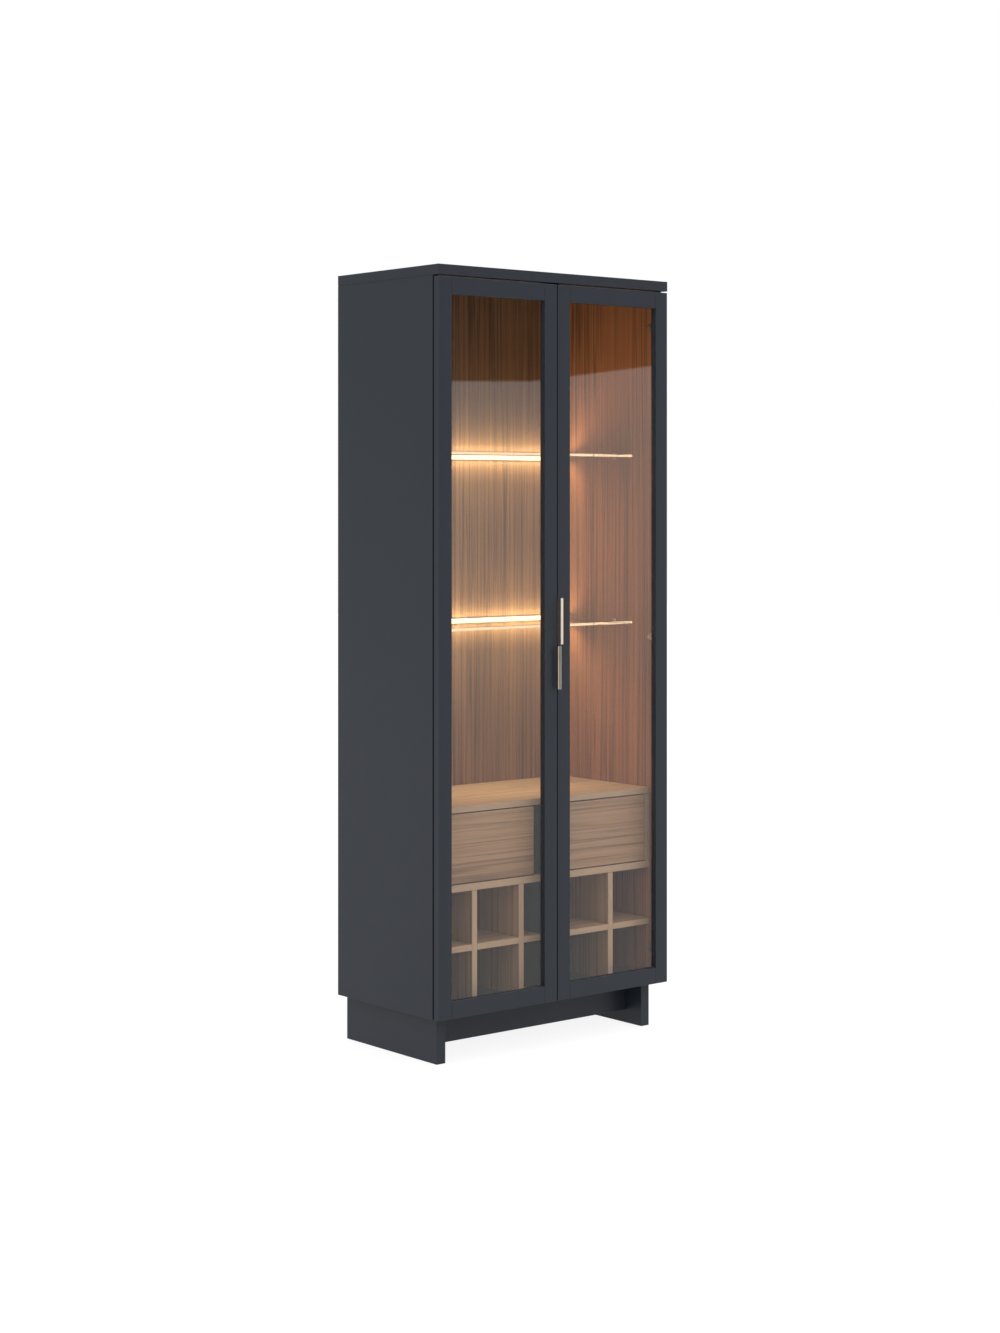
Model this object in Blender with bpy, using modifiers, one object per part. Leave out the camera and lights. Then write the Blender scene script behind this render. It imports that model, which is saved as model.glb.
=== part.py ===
"""Two-door china cabinet with a walnut lining, lit glass shelves, two drawers and a bottle rack.

Metres, +Z up, the front faces -Y, and the origin is under the middle of the whole cabinet.
Sizes below are measured on the cabinet: X from its left side, Y back from the door fronts,
Z up from the floor.
"""
import math

import bpy
from mathutils import Vector

OBJECT_NAME = "china_cabinet"

# Whole cabinet
WIDTH = 0.780
DEPTH = 0.428
HEIGHT = 2.000
FIT = 0.0003  # clearance left between two pieces that touch

# Carcass
CARCASS_Z = 0.118
CARCASS_Y = 0.024
TOP_T = 0.026
SIDE_T = 0.014
LINING_T = 0.0037
FLOOR_T = 0.018
BACK_T = 0.010
BACK_INSET = 0.002
EDGE_ROUND = 0.0008

# Plinth
LEG_T = 0.028
LEG_INSET = 0.028
LEG_Y = 0.043
RAIL_Z = 0.035
RAIL_T = 0.018
FRONT_RAIL_Y = 0.105
BACK_RAIL_Y = 0.380

# Doors
DOOR_T = 0.020
DOOR_EDGE = 0.001
HINGE_AXIS = (0.010, 0.0095)  # X from the cabinet's side, Y back from the door's front
DOOR_GAP = 0.003
DOOR_Z = (0.1195, 1.970)
STILE_W = 0.0415
RAIL_W = 0.0430
PANE_T = 0.004
PANE_Y = 0.0080
GROOVE = 0.008
PANE_PLAY = 0.001

# Edge pulls
PULL_PROUD = 0.015
PULL_W = 0.0095
PULL_T = 0.0018
PULL_SLANT = 0.0016
PULL_OVERHANG = 0.0025
PULL_Z = {"left": (0.925, 1.036), "right": (1.041, 1.160)}

# Concealed hinges
HINGE_Z = (0.210, 1.045, 1.880)
CUP_R = 0.013
CUP_DEPTH = 0.0105
CUP_WALL = 0.0015
CUP_X = 0.0185
FLANGE_T = 0.0012
FLANGE_H = 0.042
ARM_Y = (0.0222, 0.050)
ARM_W = 0.010
ARM_H = 0.018

# Glass shelves, their clips and the light bars that carry their back edges
SHELF_Z = {"lower": 1.0775, "upper": 1.530}
SHELF_T = 0.008
SHELF_Y = 0.119
SHELF_END_GAP = 0.0025
BAR_DEPTH = 0.017
BAR_H = 0.020
BAR_GRIP = 0.006
CLIP_Y = 0.183
CLIP_W = 0.012
CLIP_REACH = 0.013
CLIP_H = 0.0165
CLIP_WALL = 0.002

# Drawer and rack block
BLOCK_Y = 0.055
DECK_Z = (0.6225, 0.639)
SHELF_BOARD_Z = (0.4225, 0.441)
MID_BOARD_Z = (0.270, 0.286)
DIVIDER_T = 0.017
DIVIDER_PITCH = 0.1547
PARTITION_T = 0.018
LAP_Y = 0.235

# Drawers
FRONT_X = (0.0345, 0.355)
FRONT_T = 0.018
FRONT_PLAY = 0.003
BOX_X = (0.034, 0.349)
BLOCK_SIDE_X = 0.0325
BOX_BACK_Y = 0.395
BOX_TOP_Z = 0.590
BOX_WALL = 0.012
BOX_FLOOR = 0.008
GUIDE_Y = (0.080, 0.390)
GUIDE_H = 0.020

MIDDLE = Vector((WIDTH / 2, (DEPTH - PULL_PROUD) / 2, 0.0))
INSIDE_X = (SIDE_T + FIT + LINING_T, WIDTH - SIDE_T - FIT - LINING_T)
BACK_Y = DEPTH - BACK_INSET - BACK_T
UNDER_TOP = HEIGHT - TOP_T - FIT

# Name: base colour, roughness, metallic, transmission
MATERIALS = {
    "anthracite_paint": ((0.047, 0.052, 0.060), 0.55, 0.0, 0.0),
    "walnut": ((0.262, 0.150, 0.082), 0.45, 0.0, 0.0),
    "drawer_wood": ((0.420, 0.290, 0.180), 0.55, 0.0, 0.0),
    "clear_glass": ((0.900, 0.930, 0.920), 0.02, 0.0, 1.0),
    "shelf_glass": ((0.850, 0.930, 0.900), 0.02, 0.0, 1.0),
    "satin_brass": ((0.720, 0.540, 0.330), 0.28, 1.0, 0.0),
    "hinge_steel": ((0.620, 0.620, 0.630), 0.30, 1.0, 0.0),
    "clip_chrome": ((0.800, 0.800, 0.800), 0.10, 1.0, 0.0),
    "light_bar": ((1.000, 0.780, 0.450), 0.40, 0.0, 0.0),
}


def clear_scene():
    for old in list(bpy.data.objects):
        bpy.data.objects.remove(old, do_unlink=True)


def make_collection(name):
    made = bpy.data.collections.new(name)
    bpy.context.scene.collection.children.link(made)
    return made


def make_materials():
    for name, (colour, roughness, metallic, transmission) in MATERIALS.items():
        made = bpy.data.materials.new(name)
        made.use_nodes = True
        shader = made.node_tree.nodes["Principled BSDF"]
        shader.inputs["Base Color"].default_value = (*colour, 1.0)
        shader.inputs["Roughness"].default_value = roughness
        shader.inputs["Metallic"].default_value = metallic
        shader.inputs["Transmission Weight"].default_value = transmission
        made.diffuse_color = (*colour, 1.0)


def link_to(obj, collection):
    for old in list(obj.users_collection):
        old.objects.unlink(obj)
    collection.objects.link(obj)


def finish_object(obj, name, material):
    obj.name = name
    obj.data.name = name
    obj.data.materials.append(bpy.data.materials[material])
    link_to(obj, bpy.data.collections[OBJECT_NAME])


def cube_at(x, y, z):
    """A cube primitive that fills the ranges x, y, z, its size held in the mesh."""
    low = Vector((x[0], y[0], z[0])) - MIDDLE
    high = Vector((x[1], y[1], z[1])) - MIDDLE
    bpy.ops.mesh.primitive_cube_add(size=1.0, location=(low + high) / 2)
    obj = bpy.context.active_object
    obj.scale = high - low
    bpy.ops.object.transform_apply(location=False, rotation=False, scale=True)
    return obj


def board(name, x, y, z, material, rounding=EDGE_ROUND):
    """A board with slightly rounded edges."""
    obj = cube_at(x, y, z)
    finish_object(obj, name, material)
    if rounding:
        bevel = obj.modifiers.new("Edges", "BEVEL")
        bevel.width = rounding
        bevel.segments = 2
        bevel.limit_method = "ANGLE"
    return obj


def as_cutter(obj, name):
    obj.name = name
    obj.display_type = "WIRE"
    obj.hide_render = True
    link_to(obj, bpy.data.collections["cutters"])
    return obj


def combine(obj, other, operation):
    step = obj.modifiers.new(other.name, "BOOLEAN")
    step.operation = operation
    step.solver = "EXACT"
    step.object = other


def cut_box(obj, label, x, y, z):
    combine(obj, as_cutter(cube_at(x, y, z), f"{obj.name}_{label}"), "DIFFERENCE")


def join_box(obj, label, x, y, z):
    combine(obj, as_cutter(cube_at(x, y, z), f"{obj.name}_{label}"), "UNION")


def cylinder_along_y(radius, x, y, z, vertices=32):
    """A cylinder primitive along Y that fills the range y."""
    centre = Vector((x, (y[0] + y[1]) / 2, z)) - MIDDLE
    bpy.ops.mesh.primitive_cylinder_add(
        vertices=vertices, radius=radius, depth=y[1] - y[0], location=centre,
        rotation=(math.pi / 2, 0.0, 0.0))
    return bpy.context.active_object


def mirrored(x):
    """The same X range on the other half of the cabinet."""
    return (WIDTH - x[1], WIDTH - x[0])


def on_side(side, x):
    return x if side == "left" else mirrored(x)


# Carcass

def make_shell():
    board("top_panel", (0.0, WIDTH), (0.0, DEPTH), (HEIGHT - TOP_T, HEIGHT), "anthracite_paint")
    for side in ("left", "right"):
        board(f"side_panel_{side}", on_side(side, (0.0, SIDE_T)), (CARCASS_Y, DEPTH),
              (CARCASS_Z, UNDER_TOP), "anthracite_paint")
        board(f"side_lining_{side}", on_side(side, (SIDE_T + FIT, INSIDE_X[0])),
              (CARCASS_Y + FIT, BACK_Y - FIT), (CARCASS_Z + FLOOR_T + FIT, UNDER_TOP), "walnut", 0.0)
    between_sides = (SIDE_T + FIT, WIDTH - SIDE_T - FIT)
    board("bottom_panel", between_sides, (CARCASS_Y, BACK_Y - FIT),
          (CARCASS_Z, CARCASS_Z + FLOOR_T), "anthracite_paint")
    board("back_panel", between_sides, (BACK_Y, BACK_Y + BACK_T), (CARCASS_Z, UNDER_TOP), "walnut", 0.0)


def make_plinth():
    leg_top = CARCASS_Z - FIT
    leg_x = (LEG_INSET, LEG_INSET + LEG_T)
    for side in ("left", "right"):
        board(f"leg_panel_{side}", on_side(side, leg_x), (LEG_Y, DEPTH - BACK_INSET),
              (0.0, leg_top), "anthracite_paint")
    rail_x = (leg_x[1] + FIT, WIDTH - leg_x[1] - FIT)
    for name, y in (("base_rail_front", FRONT_RAIL_Y), ("base_rail_back", BACK_RAIL_Y)):
        board(name, rail_x, (y, y + RAIL_T), (RAIL_Z, leg_top), "anthracite_paint")


# Drawer and rack block

def divider_places():
    """X of the four walnut dividers and of the painted partition between them."""
    half = DIVIDER_PITCH / 2
    offsets = (-3 * half, -half, 0.0, half, 3 * half)
    return [WIDTH / 2 + offset for offset in offsets]


def make_block():
    inside = (INSIDE_X[0] + FIT, INSIDE_X[1] - FIT)
    deep = (BLOCK_Y, BACK_Y - FIT)
    board("deck_board", inside, deep, DECK_Z, "walnut")
    board("lower_board", inside, deep, SHELF_BOARD_Z, "walnut")
    mid_board = board("mid_board", inside, deep, MID_BOARD_Z, "walnut")
    rack_z = (CARCASS_Z + FLOOR_T + FIT, SHELF_BOARD_Z[0] - FIT)
    lap_z = (MID_BOARD_Z[0] - FIT, MID_BOARD_Z[1] + FIT)
    for number, x in enumerate(divider_places(), 1):
        middle = number == 3
        half = (PARTITION_T if middle else DIVIDER_T) / 2
        divider = board(f"rack_divider_{number}", (x - half, x + half), deep, rack_z,
                        "anthracite_paint" if middle else "walnut")
        cut_box(divider, "lap", (x - 2 * half, x + 2 * half), (LAP_Y, DEPTH), lap_z)
        cut_box(mid_board, f"lap_{number}", (x - half - FIT, x + half + FIT), (0.0, LAP_Y + FIT),
                (MID_BOARD_Z[0] - DIVIDER_T, MID_BOARD_Z[1] + DIVIDER_T))


def make_drawer_sides():
    """The partition between the drawers, with its guides, and the block's two outer sides."""
    half = PARTITION_T / 2
    low = SHELF_BOARD_Z[1] + FIT
    partition = board("drawer_partition", (WIDTH / 2 - half, WIDTH / 2 + half),
                      (BLOCK_Y, BACK_Y - FIT), (low, DECK_Z[0] - FIT), "anthracite_paint")
    join_box(partition, "guides", (BOX_X[1] + FIT, WIDTH - BOX_X[1] - FIT), GUIDE_Y,
             (low, low + GUIDE_H))
    for side in ("left", "right"):
        board(f"block_side_{side}", on_side(side, (INSIDE_X[0] + FIT, BLOCK_SIDE_X)),
              (BLOCK_Y, BACK_Y - FIT), (low, DECK_Z[0] - FIT), "walnut")


def make_drawer(side):
    """A drawer: its own empty sits on the slide line at the middle of the front."""
    front_x = on_side(side, FRONT_X)
    low = SHELF_BOARD_Z[1] + FRONT_PLAY
    high = DECK_Z[0] - FRONT_PLAY
    front = board(f"drawer_front_{side}", front_x, (BLOCK_Y, BLOCK_Y + FRONT_T), (low, high), "walnut")
    box_x = on_side(side, BOX_X)
    box_y = (BLOCK_Y + FRONT_T + FIT, BOX_BACK_Y)
    box_z = (SHELF_BOARD_Z[1] + 2 * FIT, BOX_TOP_Z)
    box = board(f"drawer_box_{side}", box_x, box_y, box_z, "drawer_wood")
    cut_box(box, "inside", (box_x[0] + BOX_WALL, box_x[1] - BOX_WALL),
            (box_y[0] + BOX_WALL, box_y[1] - BOX_WALL), (box_z[0] + BOX_FLOOR, box_z[1] + BOX_WALL))
    on_line = Vector((sum(front_x) / 2, BLOCK_Y, (low + high) / 2)) - MIDDLE
    hold_under_empty(f"drawer_{side}_slide", on_line, (front, box))


# Doors

def hold_under_empty(name, place, pieces):
    """Parent the pieces to an empty at a joint, without moving them."""
    empty = bpy.data.objects.new(name, None)
    empty.location = place
    bpy.data.collections[OBJECT_NAME].objects.link(empty)
    for piece in pieces:
        piece.location = piece.location - place
        piece.parent = empty
    return empty


def make_pull(side):
    """An edge pull: a flat outline with its foot on the stile and a slanted finger lip."""
    direction = -1 if side == "left" else 1
    edge = WIDTH / 2 + direction * (DOOR_GAP / 2 - PULL_OVERHANG)
    foot = PULL_OVERHANG + PULL_T
    lip = PULL_PROUD - PULL_SLANT
    outline = (
        (0.0, FIT),
        (0.0, PULL_PROUD),
        (PULL_W, lip),
        (PULL_W, lip - PULL_T),
        (foot, PULL_PROUD - PULL_T - PULL_SLANT / 2),
        (foot, FIT),
    )
    low, high = PULL_Z[side]
    curve = bpy.data.curves.new(f"pull_{side}", "CURVE")
    curve.dimensions = "2D"
    curve.fill_mode = "BOTH"
    curve.extrude = (high - low) / 2
    spline = curve.splines.new("POLY")
    spline.points.add(len(outline) - 1)
    spline.use_cyclic_u = True
    for point, (across, proud) in zip(spline.points, outline):
        point.co = (direction * across, -proud, 0.0, 1.0)
    pull = bpy.data.objects.new(f"pull_{side}", curve)
    bpy.context.scene.collection.objects.link(pull)
    finish_object(pull, f"pull_{side}", "satin_brass")
    pull.location = Vector((edge, 0.0, (low + high) / 2)) - MIDDLE
    return pull


def make_hinge(side, number, z):
    """A cup that sinks into the hinge stile and, on the carcass, the arm behind it."""
    cup_x = CUP_X if side == "left" else WIDTH - CUP_X
    flange_y = (DOOR_T + FIT, DOOR_T + FIT + FLANGE_T)
    cup_y = (DOOR_T - CUP_DEPTH, flange_y[1])
    cup = board(f"hinge_cup_{side}_{number}", (cup_x - CUP_R, cup_x + CUP_R), flange_y,
                (z - FLANGE_H / 2, z + FLANGE_H / 2), "hinge_steel", 0.0)
    well = as_cutter(cylinder_along_y(CUP_R - FIT, cup_x, (cup_y[0], flange_y[0] + FLANGE_T / 2), z),
                     f"{cup.name}_well")
    combine(cup, well, "UNION")
    hollow_y = (cup_y[0] + CUP_WALL, DOOR_T + CUP_DEPTH)
    hollow = as_cutter(cylinder_along_y(CUP_R - CUP_WALL, cup_x, hollow_y, z), f"{cup.name}_hollow")
    combine(cup, hollow, "DIFFERENCE")
    arm_x = on_side(side, (INSIDE_X[0] + FIT, INSIDE_X[0] + FIT + ARM_W))
    board(f"hinge_arm_{side}_{number}", arm_x, ARM_Y, (z - ARM_H / 2, z + ARM_H / 2), "hinge_steel", 0.002)
    return cup


def bore_for_cup(stile, side, z):
    x = CUP_X if side == "left" else WIDTH - CUP_X
    depth = (DOOR_T - CUP_DEPTH - FIT, DOOR_T + CUP_DEPTH)
    bore = as_cutter(cylinder_along_y(CUP_R, x, depth, z), f"{stile.name}_bore_{round(z * 1000)}")
    combine(stile, bore, "DIFFERENCE")


def make_door(side):
    outer = (DOOR_EDGE, WIDTH / 2 - DOOR_GAP / 2)
    opening_x = (outer[0] + STILE_W, outer[1] - STILE_W)
    opening_z = (DOOR_Z[0] + RAIL_W, DOOR_Z[1] - RAIL_W)
    door_y = (0.0, DOOR_T)
    pane_x = (opening_x[0] - GROOVE + PANE_PLAY, opening_x[1] + GROOVE - PANE_PLAY)
    pane_z = (opening_z[0] - GROOVE + PANE_PLAY, opening_z[1] + GROOVE - PANE_PLAY)
    groove = (
        on_side(side, (opening_x[0] - GROOVE, opening_x[1] + GROOVE)),
        (PANE_Y - FIT, PANE_Y + PANE_T + FIT),
        (opening_z[0] - GROOVE, opening_z[1] + GROOVE),
    )
    rail_x = on_side(side, (opening_x[0] + FIT, opening_x[1] - FIT))
    pieces = [
        board(f"stile_hinge_{side}", on_side(side, (outer[0], opening_x[0])), door_y, DOOR_Z,
              "anthracite_paint"),
        board(f"stile_meeting_{side}", on_side(side, (opening_x[1], outer[1])), door_y, DOOR_Z,
              "anthracite_paint"),
        board(f"rail_bottom_{side}", rail_x, door_y, (DOOR_Z[0], opening_z[0]), "anthracite_paint"),
        board(f"rail_top_{side}", rail_x, door_y, (opening_z[1], DOOR_Z[1]), "anthracite_paint"),
    ]
    for z in HINGE_Z:
        bore_for_cup(pieces[0], side, z)
    for piece in pieces:
        cut_box(piece, "groove", *groove)
    pieces.append(board(f"pane_{side}", on_side(side, pane_x), (PANE_Y, PANE_Y + PANE_T), pane_z,
                        "clear_glass", 0.0))
    pieces.append(make_pull(side))
    pieces += [make_hinge(side, number, z) for number, z in enumerate(HINGE_Z, 1)]
    axis_x = HINGE_AXIS[0] if side == "left" else WIDTH - HINGE_AXIS[0]
    axis = Vector((axis_x, HINGE_AXIS[1], sum(DOOR_Z) / 2)) - MIDDLE
    hold_under_empty(f"door_{side}_axis", axis, pieces)


# Shelves

def make_shelf(level):
    low = SHELF_Z[level]
    shelf_z = (low, low + SHELF_T)
    ends = (INSIDE_X[0] + SHELF_END_GAP, INSIDE_X[1] - SHELF_END_GAP)
    bar_y = (BACK_Y - FIT - BAR_DEPTH, BACK_Y - FIT)
    board(f"glass_shelf_{level}", ends, (SHELF_Y, bar_y[0] + BAR_GRIP), shelf_z, "shelf_glass", 0.0005)
    centre = low + SHELF_T / 2
    bar = board(f"light_bar_{level}", (INSIDE_X[0] + FIT, INSIDE_X[1] - FIT), bar_y,
                (centre - BAR_H / 2, centre + BAR_H / 2), "light_bar")
    grip_z = (low - FIT, low + SHELF_T + FIT)
    cut_box(bar, "grip", (0.0, WIDTH), (bar_y[0] - BAR_GRIP, bar_y[0] + BAR_GRIP + FIT), grip_z)
    for side in ("left", "right"):
        clip_x = (INSIDE_X[0] + FIT, INSIDE_X[0] + FIT + CLIP_REACH)
        clip = board(f"shelf_clip_{level}_{side}", on_side(side, clip_x),
                     (CLIP_Y - CLIP_W / 2, CLIP_Y + CLIP_W / 2),
                     (centre - CLIP_H / 2, centre + CLIP_H / 2), "clip_chrome", 0.001)
        slot_x = (clip_x[0] + CLIP_WALL, clip_x[1] + CLIP_REACH)
        cut_box(clip, "slot", on_side(side, slot_x), (CLIP_Y - CLIP_W, CLIP_Y + CLIP_W), grip_z)


def main():
    clear_scene()
    make_collection(OBJECT_NAME)
    make_collection("cutters")
    make_materials()
    make_shell()
    make_plinth()
    make_block()
    make_drawer_sides()
    for side in ("left", "right"):
        make_drawer(side)
        make_door(side)
    for level in ("lower", "upper"):
        make_shelf(level)


main()
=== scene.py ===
"""China cabinet: finishes, fine fittings and studio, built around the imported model.

Lengths are metres in the frame's own axes: +Z up, and the doors face -Y.
"""
import math

import bmesh
import bpy
from bpy.props import FloatProperty, FloatVectorProperty, PointerProperty
from mathutils import Matrix, Vector


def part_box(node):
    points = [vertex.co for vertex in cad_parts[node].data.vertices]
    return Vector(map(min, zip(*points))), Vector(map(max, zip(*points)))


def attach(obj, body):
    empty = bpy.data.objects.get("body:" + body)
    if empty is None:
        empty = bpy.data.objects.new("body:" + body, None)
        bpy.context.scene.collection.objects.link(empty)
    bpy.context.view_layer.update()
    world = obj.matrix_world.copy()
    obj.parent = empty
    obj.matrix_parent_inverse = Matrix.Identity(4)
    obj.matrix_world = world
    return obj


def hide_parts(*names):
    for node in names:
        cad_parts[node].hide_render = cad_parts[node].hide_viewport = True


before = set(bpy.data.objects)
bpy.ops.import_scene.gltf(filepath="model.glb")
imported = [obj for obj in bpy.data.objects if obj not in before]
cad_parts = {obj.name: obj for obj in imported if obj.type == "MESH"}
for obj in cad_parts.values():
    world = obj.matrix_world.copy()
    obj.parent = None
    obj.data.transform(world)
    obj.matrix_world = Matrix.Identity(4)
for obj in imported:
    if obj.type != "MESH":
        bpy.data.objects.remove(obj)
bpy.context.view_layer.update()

bl_info = {
    "name": "China Cabinet",
    "version": (1, 0, 0),
    "blender": (4, 5, 0),
    "location": "View3D > Sidebar > Cabinet",
    "description": "Finishes the parts of a glass-doored china cabinet and sets it in a studio",
    "category": "Object",
}

SIDES = ("left", "right")
LEVELS = ("lower", "upper")
TURN = 2.0 * math.pi
MM = 0.001

SKIN = 0.2 * MM                     # gap between two pieces of one fitting
GRIP = 0.3 * MM                     # gap between a glass shelf and what holds it
BANDED = 0.75                       # how much of the edge banding shows on a board's front edge
PAINT_DUST = (0.30, 0.29, 0.27, 1.0)
WOOD_DUST = (0.45, 0.42, 0.38, 1.0)


# Settings

def colour_setting(name, description, default):
    return FloatVectorProperty(name=name, description=description, default=default,
                               subtype="COLOR", size=3, min=0.0, max=1.0)


def length_setting(name, description, default):
    return FloatProperty(name=name, description=description, default=default,
                         subtype="DISTANCE", unit="LENGTH", min=0.0)


def factor_setting(name, description, default):
    return FloatProperty(name=name, description=description, default=default,
                         subtype="FACTOR", min=0.0, max=1.0)


class PaintSettings(bpy.types.PropertyGroup):
    colour: colour_setting("Colour", "Anthracite of the painted boards", (0.0185, 0.0240, 0.0345))
    roughness: factor_setting("Roughness", "How matt the paint is", 0.40)
    wear: factor_setting("Edge wear", "How much paler the sharp edges are", 0.35)
    peel: factor_setting("Orange peel", "Strength of the sprayed texture", 0.10)


class WoodSettings(bpy.types.PropertyGroup):
    # The back and lining tones are more orange than the front tones: part of the bars' warm light is painted
    # into them, since the bars' lamps are near white.
    light: colour_setting("Early wood", "Lighter tone of the back panel", (0.345, 0.168, 0.073))
    dark: colour_setting("Late wood", "Darker tone of the back panel", (0.180, 0.080, 0.033))
    lining_light: colour_setting("Lining early wood", "Lighter tone of the linings", (0.375, 0.137, 0.056))
    lining_dark: colour_setting("Lining late wood", "Darker tone of the linings", (0.195, 0.066, 0.027))
    line: colour_setting("Lines", "Colour of the thin dark lines", (0.060, 0.024, 0.011))
    front_light: colour_setting("Front early wood", "Lighter tone of the front boards", (0.435, 0.250, 0.138))
    front_dark: colour_setting("Front late wood", "Darker tone of the front boards", (0.310, 0.166, 0.088))
    deck_light: colour_setting("Deck early wood", "Lighter tone of the deck board", (0.375, 0.205, 0.108))
    deck_dark: colour_setting("Deck late wood", "Darker tone of the deck board", (0.270, 0.138, 0.070))
    figure: length_setting("Figure width", "Spacing of the broad bands", 0.016)
    banding: colour_setting("Edge banding", "Paler strip on the front edges", (0.460, 0.300, 0.190))
    box_light: colour_setting("Box light tone", "Lighter tone of the drawer boxes", (0.560, 0.400, 0.250))
    box_dark: colour_setting("Box dark tone", "Darker tone of the drawer boxes", (0.420, 0.280, 0.160))


class GlassSettings(bpy.types.PropertyGroup):
    pane: colour_setting("Pane", "Tint of the door panes", (0.985, 0.992, 0.988))
    shelf: colour_setting("Shelf", "Tint of the shelf faces", (0.950, 0.985, 0.965))
    edge: colour_setting("Shelf edge", "Tint of the polished shelf edges", (0.900, 0.960, 0.920))
    front_edge: colour_setting("Shelf front edge", "Tint of the ground front edge", (0.40, 0.33, 0.40))
    seal: length_setting("Seal", "Width of the seal round each pane", 0.0014)


class LightSettings(bpy.types.PropertyGroup):
    seen: colour_setting("Diffuser", "Colour of the lit diffuser", (1.0, 0.74, 0.36))
    seen_strength: FloatProperty(name="Diffuser strength", description="Brightness of the diffuser",
                                 default=1.7, min=0.0)
    pitch: length_setting("Pitch", "Spacing of the light points behind the diffuser", 0.0167)
    lamp: colour_setting("Lamp", "Colour of the light that the bars give", (1.0, 1.0, 0.78))
    top: colour_setting("Top colour", "Colour of the lamp that lights the top", (1.0, 0.86, 0.68))
    near: colour_setting("Glow colour", "Colour of the lamps close to the back panel", (0.92, 1.0, 0.74))
    wash: FloatProperty(name="Wash", description="Power of each wide lamp, which lights the back panel",
                        default=0.45, min=0.0, unit="POWER")
    glow: FloatProperty(name="Glow", description="Power of each lamp close to the back panel",
                        default=0.52, min=0.0, unit="POWER")
    throw: FloatProperty(name="Throw", description="Power of each narrow lamp, which lights the far boards",
                         default=0.94, min=0.0, unit="POWER")
    throw_angle: FloatProperty(name="Throw angle", description="Spread of the narrow lamps",
                               default=math.radians(100.0), subtype="ANGLE")
    lamp_gap: length_setting("Lamp distance", "From the back panel to the wide lamps", 0.040)
    glow_gap: length_setting("Glow distance", "From the back panel to the close lamps", 0.011)


class MetalSettings(bpy.types.PropertyGroup):
    brass: colour_setting("Brass", "Champagne brass of the pulls", (0.950, 0.800, 0.660))
    steel: colour_setting("Steel", "Nickel-plated hinges and screws", (0.620, 0.610, 0.590))
    chrome: colour_setting("Chrome", "Shelf clips", (0.860, 0.860, 0.860))
    aluminium: colour_setting("Aluminium", "Channels of the light bars", (0.720, 0.720, 0.720))
    screw_radius: length_setting("Screw head", "Radius of the small screw heads", 0.0032)


class StageSettings(bpy.types.PropertyGroup):
    lens: FloatProperty(name="Lens", description="Focal length", default=64.46, subtype="DISTANCE_CAMERA")
    heading: FloatProperty(name="Heading", description="Turn of the camera to the cabinet's left",
                           default=math.radians(39.4143), subtype="ANGLE")
    eye: FloatVectorProperty(name="Eye", description="Camera from the left front corner of the carcass",
                             default=(-3.6402, -4.6700, 1.4055), subtype="TRANSLATION", unit="LENGTH")
    shift: FloatProperty(name="Shift", description="Vertical shift that keeps upright lines upright",
                         default=-0.1226)
    backdrop: FloatProperty(name="Backdrop", description="Brightness of the backdrop", default=0.98, min=0.0)
    front_box: FloatProperty(name="Front softbox", description="Extra light from high in front",
                             default=0.70, min=0.0)
    overhead: FloatProperty(name="Overhead", description="Brightness of the light from above",
                            default=1.00, min=0.0)


class CabinetSettings(bpy.types.PropertyGroup):
    paint: PointerProperty(type=PaintSettings)
    wood: PointerProperty(type=WoodSettings)
    glass: PointerProperty(type=GlassSettings)
    light: PointerProperty(type=LightSettings)
    metal: PointerProperty(type=MetalSettings)
    stage: PointerProperty(type=StageSettings)


def settings():
    return bpy.context.scene.cabinet


# Shader building blocks

def add(tree, kind, inputs=None, **choices):
    """A node with its choices set, and its inputs given a value or linked from a socket."""
    node = tree.nodes.new(kind)
    for name, value in choices.items():
        setattr(node, name, value)
    for key, value in (inputs or {}).items():
        if isinstance(value, bpy.types.NodeSocket):
            tree.links.new(value, node.inputs[key])
        else:
            node.inputs[key].default_value = value
    return node


def calc(tree, operation, *values, clamp=False):
    node = add(tree, "ShaderNodeMath", dict(enumerate(values)), operation=operation, use_clamp=clamp)
    return node.outputs[0]


def calc_vector(tree, operation, first, second):
    return add(tree, "ShaderNodeVectorMath", {0: first, 1: second}, operation=operation).outputs[0]


def stretch(tree, vector, scale):
    return calc_vector(tree, "MULTIPLY", vector, scale)


def thrice(tree, value):
    """The value as all three parts of a vector or of a grey."""
    return add(tree, "ShaderNodeCombineXYZ", {0: value, 1: value, 2: value}).outputs[0]


def noise(tree, vector, detail=2.0, roughness=0.5, output="Fac"):
    inputs = {"Vector": vector, "Scale": 1.0, "Detail": detail, "Roughness": roughness}
    return add(tree, "ShaderNodeTexNoise", inputs).outputs[output]


def spread(tree, value, low, high, to_low=0.0, to_high=1.0):
    """The value's range from low to high carried over to a new range, and clamped."""
    inputs = {"Value": value, "From Min": low, "From Max": high, "To Min": to_low, "To Max": to_high}
    return add(tree, "ShaderNodeMapRange", inputs).outputs["Result"]


def blend_colours(tree, factor, first, second, blend_type="MIX"):
    """Two colours blended. The mix node's colour sockets are inputs 6 and 7 and output 2."""
    inputs = {0: factor, 6: first, 7: second}
    return add(tree, "ShaderNodeMix", inputs, data_type="RGBA", blend_type=blend_type).outputs[2]


def rgba(colour):
    return (*colour, 1.0)


def object_coordinates(tree):
    return add(tree, "ShaderNodeTexCoord").outputs["Object"]


def start_group(name, inputs, outputs):
    """An empty node group with named sockets, and its input and output nodes."""
    tree = bpy.data.node_groups.new(name, "ShaderNodeTree")
    for label, kind, default in inputs:
        socket = tree.interface.new_socket(name=label, in_out="INPUT", socket_type="NodeSocket" + kind)
        if default is not None:
            socket.default_value = default
    for label, kind in outputs:
        tree.interface.new_socket(name=label, in_out="OUTPUT", socket_type="NodeSocket" + kind)
    return tree, add(tree, "NodeGroupInput").outputs, add(tree, "NodeGroupOutput").inputs


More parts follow.
